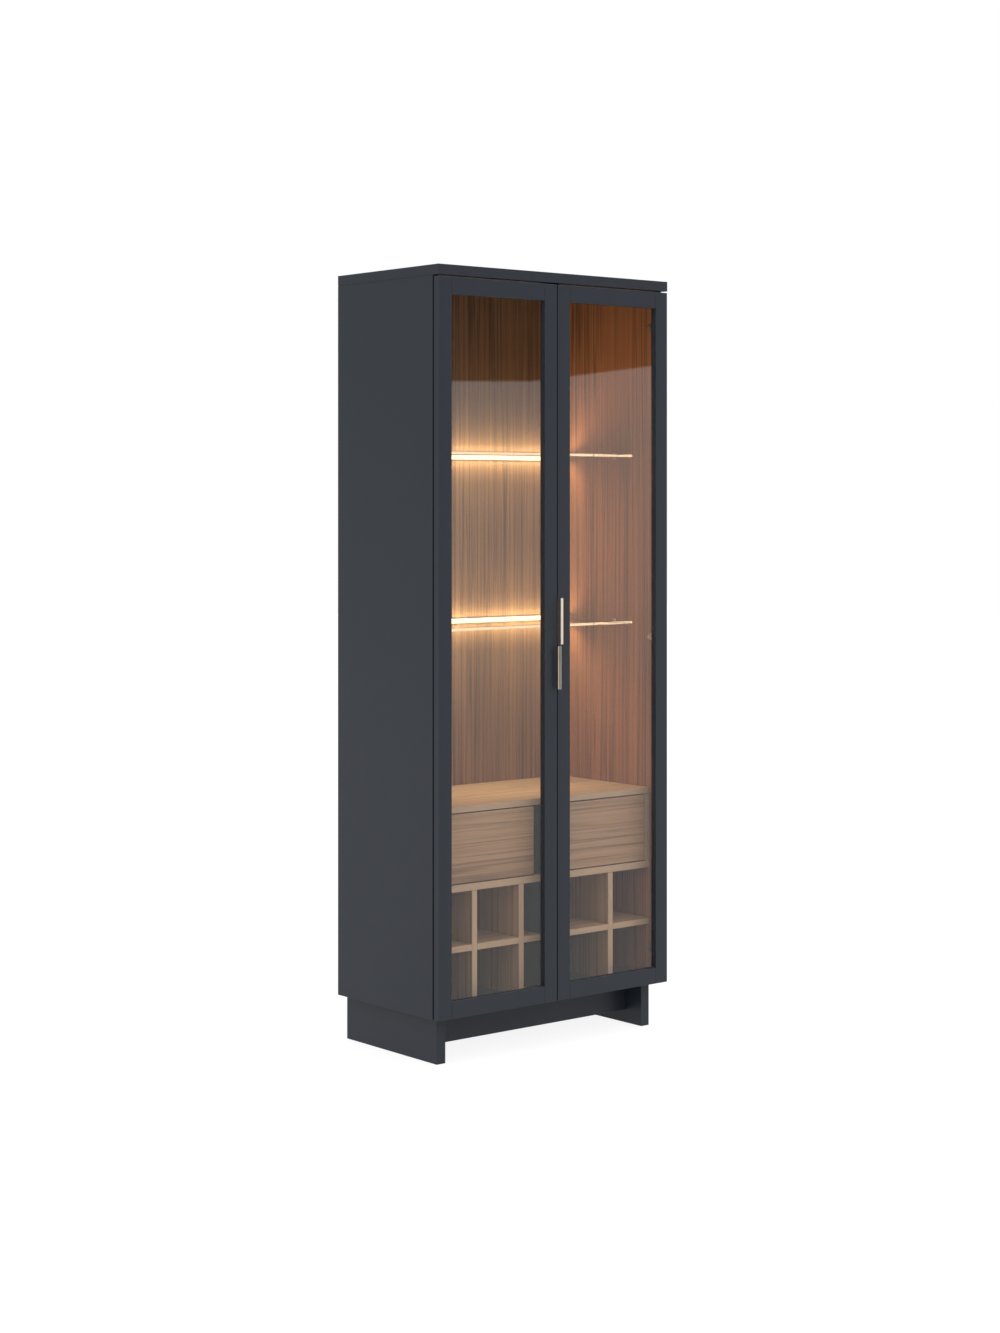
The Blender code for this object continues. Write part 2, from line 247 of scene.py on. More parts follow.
def place_group(tree, build, inputs):
    """A shared node group, built the first time it is asked for, placed with its own values."""
    name = build.__name__.replace("_group", "").replace("_", " ")
    shared = bpy.data.node_groups.get(name) or build(name)
    return add(tree, "ShaderNodeGroup", inputs_of_group(shared, inputs), node_tree=shared)


def inputs_of_group(shared, inputs):
    known = {item.name for item in shared.interface.items_tree if item.in_out == "INPUT"}
    unknown = set(inputs) - known
    if unknown:
        raise ValueError(f"{shared.name} has no input {sorted(unknown)}")
    return inputs


def grain_lines(tree, place, scale, width):
    """Thin lines where a stretched noise crosses its middle."""
    level = noise(tree, stretch(tree, place, scale), detail=1.0)
    return spread(tree, calc(tree, "ABSOLUTE", calc(tree, "SUBTRACT", level, 0.5)), width, 0.0)


def wood_grain_group(name):
    """Straight veneer grain that runs along Z: bands, streaks, thin dark lines and open pores."""
    tree, given, result = start_group(name, [
        ("Coordinates", "Vector", None),
        ("Light", "Color", (0.35, 0.19, 0.10, 1.0)),
        ("Dark", "Color", (0.17, 0.085, 0.044, 1.0)),
        ("Line", "Color", (0.06, 0.028, 0.015, 1.0)),
        ("Figure Width", "Float", 0.016),
        ("Line Strength", "Float", 0.85),
        ("Pore Strength", "Float", 0.22),
        ("Seed", "Float", 0.0),
    ], [("Color", "Color"), ("Roughness", "Float"), ("Height", "Float")])
    place = calc_vector(tree, "ADD", given["Coordinates"], thrice(tree, given["Seed"]))
    sway = noise(tree, stretch(tree, place, (1.6, 1.6, 1.1)), detail=1.0, output="Color")
    sway = stretch(tree, calc_vector(tree, "SUBTRACT", sway, (0.5, 0.5, 0.5)), (0.012, 0.012, 0.0))
    swayed = calc_vector(tree, "ADD", place, sway)
    per_band = calc(tree, "DIVIDE", 1.0, given["Figure Width"])
    across = add(tree, "ShaderNodeCombineXYZ", {0: per_band, 1: per_band, 2: 0.55}).outputs[0]
    band = noise(tree, stretch(tree, swayed, across), detail=2.0, roughness=0.6)
    band = spread(tree, band, 0.33, 0.68)
    streak = noise(tree, stretch(tree, swayed, (240.0, 240.0, 1.4)), detail=4.0, roughness=0.65)
    streak = spread(tree, streak, 0.36, 0.64)
    tone = calc(tree, "ADD", calc(tree, "MULTIPLY", band, 0.50), calc(tree, "MULTIPLY", streak, 0.50))
    colour = blend_colours(tree, tone, given["Light"], given["Dark"])
    broad = grain_lines(tree, swayed, (52.0, 52.0, 0.5), 0.050)
    thin = grain_lines(tree, swayed, (120.0, 120.0, 1.1), 0.055)
    line = calc(tree, "MAXIMUM", broad, calc(tree, "MULTIPLY", thin, 0.75))
    fade = noise(tree, stretch(tree, swayed, (9.0, 9.0, 2.0)), detail=1.0)
    fade = spread(tree, fade, 0.35, 0.60, 0.35, 1.0)
    line = calc(tree, "MULTIPLY", calc(tree, "MULTIPLY", line, fade), given["Line Strength"])
    colour = blend_colours(tree, line, colour, given["Line"])
    pore = noise(tree, stretch(tree, place, (900.0, 900.0, 16.0)), detail=1.0)
    pore = spread(tree, pore, 0.62, 0.68)
    pore_colour = blend_colours(tree, 0.65, colour, given["Line"])
    colour = blend_colours(tree, calc(tree, "MULTIPLY", pore, given["Pore Strength"]), colour, pore_colour)
    tree.links.new(colour, result["Color"])
    rough = calc(tree, "ADD", spread(tree, streak, 0.0, 1.0, 0.36, 0.48), calc(tree, "MULTIPLY", pore, 0.15))
    tree.links.new(rough, result["Roughness"])
    height = calc(tree, "SUBTRACT", calc(tree, "MULTIPLY", streak, 0.25), calc(tree, "MULTIPLY", pore, 0.9))
    tree.links.new(height, result["Height"])
    return tree


def sprayed_paint_group(name):
    """Sprayed lacquer: faint mottling, orange peel and uneven sheen."""
    tree, given, result = start_group(name, [
        ("Coordinates", "Vector", None),
        ("Colour", "Color", (0.02, 0.02, 0.025, 1.0)),
        ("Roughness", "Float", 0.45),
        ("Mottle", "Float", 0.12),
    ], [("Color", "Color"), ("Roughness", "Float"), ("Height", "Float")])
    cloud = noise(tree, stretch(tree, given["Coordinates"], (5.0, 5.0, 3.0)), detail=4.0, roughness=0.6)
    cloud = calc(tree, "SUBTRACT", cloud, 0.5)
    lift = calc(tree, "ADD", 1.0, calc(tree, "MULTIPLY", cloud, given["Mottle"]))
    lift = calc(tree, "MAXIMUM", lift, 0.0)
    shade = blend_colours(tree, 1.0, given["Colour"], thrice(tree, lift), "MULTIPLY")
    tree.links.new(shade, result["Color"])
    fine = noise(tree, stretch(tree, given["Coordinates"], (45.0, 45.0, 45.0)), detail=3.0)
    sheen = calc(tree, "MULTIPLY", calc(tree, "SUBTRACT", fine, 0.5), 0.10)
    tree.links.new(calc(tree, "ADD", given["Roughness"], sheen), result["Roughness"])
    peel = noise(tree, stretch(tree, given["Coordinates"], (620.0, 620.0, 620.0)), detail=1.0)
    tree.links.new(peel, result["Height"])
    return tree


def edge_wear_group(name):
    """A mask that is 1 on sharp outer edges, broken up as real wear is."""
    tree, given, result = start_group(name, [
        ("Coordinates", "Vector", None),
        ("Width", "Float", 0.0012),
        ("Amount", "Float", 0.5),
    ], [("Mask", "Float")])
    soft = add(tree, "ShaderNodeBevel", {"Radius": given["Width"]}, samples=3).outputs[0]
    flat = add(tree, "ShaderNodeNewGeometry").outputs["Normal"]
    same = add(tree, "ShaderNodeVectorMath", {0: soft, 1: flat}, operation="DOT_PRODUCT").outputs["Value"]
    edge = spread(tree, same, 0.995, 0.90)
    broken = noise(tree, stretch(tree, given["Coordinates"], (26.0, 26.0, 26.0)), detail=4.0, roughness=0.65)
    broken = spread(tree, broken, 0.35, 0.65, 0.35, 1.0)
    mask = calc(tree, "MULTIPLY", calc(tree, "MULTIPLY", edge, broken), given["Amount"])
    tree.links.new(mask, result["Mask"])
    return tree


def dust_group(name):
    """A mask of thin dust that settles on faces that look up."""
    tree, given, result = start_group(name, [
        ("Coordinates", "Vector", None),
        ("Amount", "Float", 0.1),
    ], [("Mask", "Float")])
    normal = add(tree, "ShaderNodeNewGeometry").outputs["Normal"]
    up = add(tree, "ShaderNodeSeparateXYZ", {0: normal}).outputs["Z"]
    cloud = noise(tree, stretch(tree, given["Coordinates"], (9.0, 9.0, 9.0)), detail=5.0, roughness=0.7)
    mask = calc(tree, "MULTIPLY", spread(tree, up, 0.6, 1.0), spread(tree, cloud, 0.35, 0.75))
    tree.links.new(calc(tree, "MULTIPLY", mask, given["Amount"]), result["Mask"])
    return tree


def brushed_metal_group(name):
    """Fine parallel scratches that run along Z, with soft clouds in the sheen."""
    tree, given, result = start_group(name, [
        ("Coordinates", "Vector", None),
        ("Colour", "Color", (0.7, 0.7, 0.7, 1.0)),
        ("Roughness", "Float", 0.3),
        ("Scratch", "Float", 0.1),
    ], [("Color", "Color"), ("Roughness", "Float"), ("Height", "Float")])
    scratch = noise(tree, stretch(tree, given["Coordinates"], (5200.0, 5200.0, 60.0)), detail=2.0)
    cloud = noise(tree, stretch(tree, given["Coordinates"], (70.0, 70.0, 40.0)), detail=3.0)
    mixed = calc(tree, "ADD", calc(tree, "SUBTRACT", scratch, 0.5), calc(tree, "SUBTRACT", cloud, 0.5))
    change = calc(tree, "MULTIPLY", mixed, given["Scratch"])
    tree.links.new(calc(tree, "ADD", given["Roughness"], change, clamp=True), result["Roughness"])
    lift = calc(tree, "ADD", 1.0, change)
    shade = blend_colours(tree, 1.0, given["Colour"], thrice(tree, lift), "MULTIPLY")
    tree.links.new(shade, result["Color"])
    tree.links.new(scratch, result["Height"])
    return tree


def flag_group(name):
    """A mask of the directions that a dark studio flag covers: a band to the front right."""
    tree, given, result = start_group(name, [
        ("Right", "Float", 0.0),
        ("Front", "Float", 1.0),
    ], [("Mask", "Float")])
    left_end = spread(tree, given["Right"], 0.02, 0.14)
    right_end = spread(tree, given["Right"], 0.56, 0.46)
    in_front = spread(tree, given["Front"], -0.10, 0.20)
    mask = calc(tree, "MULTIPLY", calc(tree, "MULTIPLY", left_end, right_end), in_front)
    tree.links.new(mask, result["Mask"])
    return tree


# Materials

def start_material(name):
    made = bpy.data.materials.new(name)
    made.use_nodes = True
    shader = made.node_tree.nodes["Principled BSDF"]
    return made, made.node_tree, shader


def bump(tree, height, strength, distance):
    node = add(tree, "ShaderNodeBump", {"Height": height, "Strength": strength, "Distance": distance})
    return node.outputs["Normal"]


def along(tree, direction):
    """Object coordinates turned so that the chosen direction of the grain lies along Z."""
    axes = add(tree, "ShaderNodeSeparateXYZ", {0: object_coordinates(tree)}).outputs
    order = {"X": ("Z", "Y", "X"), "Y": ("X", "Z", "Y"), "Z": ("X", "Y", "Z")}[direction]
    return add(tree, "ShaderNodeCombineXYZ", {i: axes[axis] for i, axis in enumerate(order)}).outputs[0]


def feed(tree, shader, **sockets):
    for name, socket in sockets.items():
        tree.links.new(socket, shader.inputs[name.replace("_", " ")])


def paint_material():
    """Matt anthracite, sprayed on board."""
    chosen = settings().paint
    made, tree, shader = start_material("anthracite_paint_finish")
    where = object_coordinates(tree)
    film = place_group(tree, sprayed_paint_group, {
        "Coordinates": where, "Colour": rgba(chosen.colour), "Roughness": chosen.roughness})
    wear = place_group(tree, edge_wear_group, {"Coordinates": where, "Amount": chosen.wear})
    dust = place_group(tree, dust_group, {"Coordinates": where, "Amount": 0.05})
    worn = [channel * 2.6 for channel in chosen.colour]
    colour = blend_colours(tree, wear.outputs["Mask"], film.outputs["Color"], rgba(worn))
    colour = blend_colours(tree, dust.outputs["Mask"], colour, PAINT_DUST)
    feed(tree, shader, Base_Color=colour, Roughness=film.outputs["Roughness"],
         Normal=bump(tree, film.outputs["Height"], chosen.peel, 0.0002))
    shader.inputs["IOR"].default_value = 1.48
    return made


def walnut_material(name, direction, seed, tone="front", lines=0.55, banded=0.0):
    """Satin walnut veneer in one of its tones, with or without a paler strip on its front edges; the back and
    lining tones hold painted warm light.
    """
    chosen = settings().wood
    made, tree, shader = start_material(name)
    where = along(tree, direction)
    # The back and lining tones are the wood with the bars' warm light painted in.
    light, dark = {"front": (chosen.front_light, chosen.front_dark),
                   "lining": (chosen.lining_light, chosen.lining_dark),
                   "deck": (chosen.deck_light, chosen.deck_dark),
                   "back": (chosen.light, chosen.dark)}[tone]
    grain = place_group(tree, wood_grain_group, {
        "Coordinates": where, "Light": rgba(light), "Dark": rgba(dark), "Line": rgba(chosen.line),
        "Figure Width": chosen.figure, "Line Strength": lines, "Seed": seed})
    colour = grain.outputs["Color"]
    if banded:
        normal = add(tree, "ShaderNodeNewGeometry").outputs["Normal"]
        ahead = add(tree, "ShaderNodeVectorMath", {0: normal, 1: (0.0, -1.0, 0.0)}, operation="DOT_PRODUCT")
        strip = spread(tree, ahead.outputs["Value"], 0.90, 0.99, 0.0, banded)
        colour = blend_colours(tree, strip, colour, rgba(chosen.banding))
    dust = place_group(tree, dust_group, {"Coordinates": where, "Amount": 0.06})
    colour = blend_colours(tree, dust.outputs["Mask"], colour, WOOD_DUST)
    feed(tree, shader, Base_Color=colour, Roughness=grain.outputs["Roughness"],
         Normal=bump(tree, grain.outputs["Height"], 0.04, 0.0002))
    return made


def box_wood_material():
    """Plain pale wood of the drawer boxes."""
    chosen = settings().wood
    made, tree, shader = start_material("drawer_box_finish")
    where = along(tree, "Y")
    grain = place_group(tree, wood_grain_group, {
        "Coordinates": where, "Light": rgba(chosen.box_light), "Dark": rgba(chosen.box_dark),
        "Line": rgba(chosen.dark), "Figure Width": 0.030, "Line Strength": 0.25,
        "Pore Strength": 0.2, "Seed": 4.0})
    wear = place_group(tree, edge_wear_group, {"Coordinates": where, "Amount": 0.3})
    colour = blend_colours(tree, wear.outputs["Mask"], grain.outputs["Color"], rgba(chosen.box_light))
    feed(tree, shader, Base_Color=colour, Roughness=grain.outputs["Roughness"],
         Normal=bump(tree, grain.outputs["Height"], 0.3, 0.0003))
    return made


def glass_material(name, face, edges=None):
    """Clear glass that lets lamp light through, and the tints of its polished and ground edges."""
    made, tree, shader = start_material(name)
    shader.inputs["Base Color"].default_value = rgba(face)
    if edges:
        polished, ground = edges
        normal = add(tree, "ShaderNodeNewGeometry").outputs["Normal"]
        parts = add(tree, "ShaderNodeSeparateXYZ", {0: normal}).outputs
        at_edge = spread(tree, calc(tree, "ABSOLUTE", parts["Z"]), 0.98, 0.80)
        tint = blend_colours(tree, at_edge, rgba(face), rgba(polished))
        at_front = spread(tree, parts["Y"], -0.80, -0.98)
        feed(tree, shader, Base_Color=blend_colours(tree, at_front, tint, rgba(ground)))
    haze = noise(tree, stretch(tree, object_coordinates(tree), (14.0, 14.0, 9.0)), detail=4.0, roughness=0.6)
    feed(tree, shader, Roughness=spread(tree, haze, 0.45, 0.80, 0.0, 0.012))
    shader.inputs["Transmission Weight"].default_value = 1.0
    shader.inputs["IOR"].default_value = 1.50
    clear = add(tree, "ShaderNodeBsdfTransparent", {"Color": rgba(face)})
    path = add(tree, "ShaderNodeLightPath").outputs
    lit = calc(tree, "MAXIMUM", path["Is Shadow Ray"], path["Is Diffuse Ray"])
    either = add(tree, "ShaderNodeMixShader", {0: lit, 1: shader.outputs[0], 2: clear.outputs[0]})
    tree.links.new(either.outputs[0], tree.nodes["Material Output"].inputs["Surface"])
    return made


def metal_material(name, colour, roughness, scratch, direction="Z"):
    made, tree, shader = start_material(name)
    where = along(tree, direction)
    brushed = place_group(tree, brushed_metal_group, {
        "Coordinates": where, "Colour": rgba(colour), "Roughness": roughness, "Scratch": scratch})
    wear = place_group(tree, edge_wear_group, {"Coordinates": where, "Width": 0.0006, "Amount": 0.4})
    bright = [min(1.0, channel * 1.15) for channel in colour]
    tone = blend_colours(tree, wear.outputs["Mask"], brushed.outputs["Color"], rgba(bright))
    feed(tree, shader, Base_Color=tone, Roughness=brushed.outputs["Roughness"],
         Normal=bump(tree, brushed.outputs["Height"], 0.08, 0.00005))
    shader.inputs["Metallic"].default_value = 1.0
    return made


def plastic_material(name, colour, roughness):
    """Moulded plastic or rubber with a fine texture."""
    made, tree, shader = start_material(name)
    where = object_coordinates(tree)
    film = place_group(tree, sprayed_paint_group, {
        "Coordinates": where, "Colour": rgba(colour), "Roughness": roughness, "Mottle": 0.2})
    feed(tree, shader, Base_Color=film.outputs["Color"], Roughness=film.outputs["Roughness"],
         Normal=bump(tree, film.outputs["Height"], 0.2, 0.0002))
    return made


def diffuser_material():
    """Opal cover, lit from inside, a little brighter over each light point."""
    chosen = settings().light
    made, tree, shader = start_material("light_bar_diffuser")
    across = add(tree, "ShaderNodeSeparateXYZ", {0: object_coordinates(tree)}).outputs["X"]
    ripple = calc(tree, "SINE", calc(tree, "MULTIPLY", across, TURN / chosen.pitch))
    glow = spread(tree, ripple, -1.0, 1.0, 0.95, 1.0)
    lit = blend_colours(tree, 1.0, rgba(chosen.seen), thrice(tree, glow), "MULTIPLY")
    feed(tree, shader, Emission_Color=lit)
    shader.inputs["Emission Strength"].default_value = chosen.seen_strength
    shader.inputs["Base Color"].default_value = (0.85, 0.83, 0.78, 1.0)
    shader.inputs["Roughness"].default_value = 0.45
    return made


MADE = {}                           # the shared finishes that exist so far, by key


def shared_material(key):
    """A finish that more than one piece uses, made once."""
    metal = settings().metal
    makers = {
        "paint": paint_material,
        "box_wood": box_wood_material,
        "brass": lambda: metal_material("satin_brass_finish", metal.brass, 0.22, 0.10),
        "steel": lambda: metal_material("hinge_steel_finish", metal.steel, 0.30, 0.14, "Y"),
        "chrome": lambda: metal_material("clip_chrome_finish", metal.chrome, 0.09, 0.05, "X"),
        "aluminium": lambda: metal_material("aluminium_finish", metal.aluminium, 0.36, 0.16, "X"),
        "diffuser": diffuser_material,
        "seal": lambda: plastic_material("pane_seal_finish", (0.020, 0.020, 0.021), 0.60),
        "black_plastic": lambda: plastic_material("black_plastic_finish", (0.025, 0.025, 0.027), 0.50),
        "clear_rubber": lambda: plastic_material("bumper_finish", (0.62, 0.62, 0.60), 0.25),
    }
    if key not in MADE:
        MADE[key] = makers[key]()
    return MADE[key]


def finish_node(node, material):
    """Give a carried-over CAD node its finish."""
    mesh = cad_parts[node].data
    mesh.materials.clear()
    mesh.materials.append(material)


# Mesh building blocks

def rounded_block(name, low, high, radius, segments=2):
    """A box between two corners with every edge rounded."""
    low, high = Vector(low), Vector(high)
    shape = bmesh.new()
    bmesh.ops.create_cube(shape, size=1.0)
    place = Matrix.LocRotScale((low + high) / 2, None, high - low)
    bmesh.ops.transform(shape, matrix=place, verts=shape.verts)
    bmesh.ops.bevel(shape, geom=shape.edges[:], offset=radius, segments=segments, profile=0.5, affect="EDGES")
    return to_mesh(shape, name)


def turned(name, profile, segments=28):
    """A closed body turned about Z from a list of (radius, height) points."""
    shape = bmesh.new()
    points = [shape.verts.new((radius, 0.0, height)) for radius, height in profile]
    edges = [shape.edges.new(pair) for pair in zip(points, points[1:])]
    bmesh.ops.spin(shape, geom=points + edges, axis=(0, 0, 1), cent=(0, 0, 0), angle=TURN,
                   steps=segments, use_merge=True)
    bmesh.ops.remove_doubles(shape, verts=shape.verts[:], dist=1e-6)
    return to_mesh(shape, name)


def prism(name, outline, length, radius=0.0, segments=2):
    """An outline in XY, made solid along Z from 0 to length, with its edges rounded."""
    shape = bmesh.new()
    face = shape.faces.new([shape.verts.new((x, y, 0.0)) for x, y in outline])
    grown = bmesh.ops.extrude_face_region(shape, geom=[face])
    lifted = [item for item in grown["geom"] if isinstance(item, bmesh.types.BMVert)]
    bmesh.ops.translate(shape, vec=(0.0, 0.0, length), verts=lifted)
    if radius:
        bmesh.ops.bevel(shape, geom=shape.edges[:], offset=radius, segments=segments, profile=0.5,
                        affect="EDGES", clamp_overlap=True)
    return to_mesh(shape, name)


def to_mesh(shape, name):
    bmesh.ops.recalc_face_normals(shape, faces=shape.faces)
    mesh = bpy.data.meshes.new(name)
    shape.to_mesh(mesh)
    shape.free()
    return mesh


def rounded_corner(centre, radius, start, end, steps=4):
    """Points on an arc between two angles in degrees."""
    angles = [math.radians(start + (end - start) * step / steps) for step in range(steps + 1)]
    return [(centre[0] + radius * math.cos(a), centre[1] + radius * math.sin(a)) for a in angles]


def show(name, mesh, body, material, place=None, smooth=False):
    """Put a mesh in the scene as a named piece that moves with a body."""
    obj = bpy.data.objects.new(name, mesh)
    bpy.context.scene.collection.objects.link(obj)
    if place is not None:
        obj.matrix_world = place
    if not mesh.materials:
        mesh.materials.append(material)
    if smooth:
        mesh.shade_smooth()
    bpy.context.view_layer.update()
    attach(obj, body)
    return obj


def facing(point, direction):
    """A placement at the point whose Z axis looks along the direction."""
    turn = Vector(direction).to_track_quat("Z", "Y").to_matrix().to_4x4()
    return Matrix.Translation(Vector(point)) @ turn


def screw_head_mesh(radius):
    """A low countersunk head with a cross recess, shared by all screws of its size."""
    key = f"screw_head_{round(radius * 1e5)}"
    if key in bpy.data.meshes:
        return bpy.data.meshes[key]
    drop = radius * 0.24
    mesh = turned(key, [(0.0, drop), (radius * 0.55, drop * 0.90), (radius * 0.88, drop * 0.55),
                        (radius, 0.0), (radius * 0.8, -drop), (0.0, -drop)], 24)
    slot_half = radius * 0.11
    reach = radius * 0.56
    arms = []
    for x, y in ((reach, slot_half), (slot_half, reach)):
        arms.append(rounded_block("cross", (-x, -y, -drop * 0.2), (x, y, drop * 2), slot_half * 0.3, 1))
    head = bpy.data.objects.new(key, mesh)
    bpy.context.scene.collection.objects.link(head)
    tools = []
    for arm in arms:
        tool = bpy.data.objects.new("cross_tool", arm)
        bpy.context.scene.collection.objects.link(tool)
        tools.append(tool)
        cut = head.modifiers.new("cross", "BOOLEAN")
        cut.operation = "DIFFERENCE"
        cut.solver = "EXACT"
        cut.object = tool
    graph = bpy.context.evaluated_depsgraph_get()
    done = bpy.data.meshes.new_from_object(head.evaluated_get(graph))
    for used in (head, *tools):
        bpy.data.objects.remove(used, do_unlink=True)
    bpy.data.meshes.remove(mesh)
    done.name = key
    done.materials.clear()
    return done


def screw(name, point, direction, body, radius=None):
    """A screw head that sits on a surface."""
    mesh = screw_head_mesh(radius or settings().metal.screw_radius)
    return show(name, mesh, body, shared_material("steel"), facing(point, direction))


class Span:
    """A CAD node's box, by name: its low and high corners, size and middle."""

    def __init__(self, node):
        self.low, self.high = (Vector(corner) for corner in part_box(node))
        self.size = self.high - self.low
        self.middle = (self.low + self.high) / 2


# Operators: one for each piece or group of like pieces

class CABINET_OT_painted_boards(bpy.types.Operator):
    """Finish the painted boards of the carcass, plinth and door frames"""
    bl_idname = "cabinet.painted_boards"
    bl_label = "Painted boards"

    def execute(self, context):
        boards = ["top_panel", "bottom_panel", "base_rail_front", "base_rail_back",
                  "drawer_partition", "rack_divider_3"]
        for side in SIDES:
            boards += [f"side_panel_{side}", f"leg_panel_{side}", f"stile_hinge_{side}",
                       f"stile_meeting_{side}", f"rail_top_{side}", f"rail_bottom_{side}"]
        for board in boards:
            finish_node(board, shared_material("paint"))
        return {"FINISHED"}


class CABINET_OT_walnut_boards(bpy.types.Operator):
    """Finish the walnut linings, boards and dividers, each with a seed and so a grain of its own"""
    bl_idname = "cabinet.walnut_boards"
    bl_label = "Walnut boards"

    def execute(self, context):
        upright = {"back_panel": "back", "side_lining_left": "lining", "side_lining_right": "lining"}
        level = {"deck_board": "deck", "lower_board": "front", "mid_board": "front"}
        clear_lines = 0.78
        for index, (board, tone) in enumerate(upright.items()):
            self.veneer(board, "Z", 0.37 * index, tone=tone, lines=clear_lines)
        for index, number in enumerate((1, 2, 4, 5)):
            self.veneer(f"rack_divider_{number}", "Z", 2.1 + 0.29 * index, banded=BANDED)
        for index, side in enumerate(SIDES):
            self.veneer(f"block_side_{side}", "Z", 3.7 + 0.31 * index, banded=BANDED)
        for index, (board, tone) in enumerate(level.items()):
            self.veneer(board, "X", 5.3 + 0.41 * index, tone=tone, banded=BANDED)
        return {"FINISHED"}

    def veneer(self, board, direction, seed, **look):
        finish_node(board, walnut_material(f"walnut_{board}", direction, seed, **look))


class CABINET_OT_drawers(bpy.types.Operator):
    """Finish the drawers and add the screws that hold each front to its box"""
    bl_idname = "cabinet.drawers"
    bl_label = "Drawers"

    def execute(self, context):
        for index, side in enumerate(SIDES):
            front = walnut_material(f"walnut_drawer_front_{side}", "X", 8.2 + 0.53 * index)
            finish_node(f"drawer_front_{side}", front)
            finish_node(f"drawer_box_{side}", shared_material("box_wood"))
            self.fix_front(side)
        return {"FINISHED"}

    def fix_front(self, side):
        """Four screws through the box's front wall, placed by their shares of its width and height."""
        box = Span(f"drawer_box_{side}")
        wall = 12.0 * MM
        for number, (across, up) in enumerate(((0.2, 0.3), (0.8, 0.3), (0.2, 0.75), (0.8, 0.75)), 1):
            point = (box.low.x + box.size.x * across, box.low.y + wall, box.low.z + box.size.z * up)
            screw(f"drawer_screw_{side}_{number}", point, (0, 1, 0), f"drawer_{side}")


class CABINET_OT_glass(bpy.types.Operator):
    """Finish the door panes and glass shelves, and run a seal round each pane"""
    bl_idname = "cabinet.glass"
    bl_label = "Glass"

    def execute(self, context):
        chosen = settings().glass
        pane = glass_material("pane_glass_finish", chosen.pane)
        shelf = glass_material("shelf_glass_finish", chosen.shelf, (chosen.edge, chosen.front_edge))
        for side in SIDES:
            finish_node(f"pane_{side}", pane)
            self.seal(side, chosen.seal)
        for level in LEVELS:
            finish_node(f"glass_shelf_{level}", shelf)
        return {"FINISHED"}

    def seal(self, side, width):
        """A bead in the corner between the pane's front face and its frame."""
        stiles = sorted((Span(f"stile_hinge_{side}"), Span(f"stile_meeting_{side}")), key=lambda s: s.low.x)
        left, right = stiles[0].high.x, stiles[1].low.x
        bottom, top = Span(f"rail_bottom_{side}").high.z, Span(f"rail_top_{side}").low.z
        front = Span(f"pane_{side}").low.y
        shape = bmesh.new()
        rings = []
        for inset, y in ((0.0, front), (0.0, front - width), (width * 0.4, front - width), (width, front)):
            corners = ((left + inset, bottom + inset), (right - inset, bottom + inset),
                       (right - inset, top - inset), (left + inset, top - inset))
            rings.append([shape.verts.new((x, y, z)) for x, z in corners])
        for ring, following in zip(rings, rings[1:] + rings[:1]):
            for i in range(4):
                j = (i + 1) % 4
                shape.faces.new((ring[i], ring[j], following[j], following[i]))
        show(f"pane_seal_{side}", to_mesh(shape, f"pane_seal_{side}"), f"door_{side}",
             shared_material("seal"))


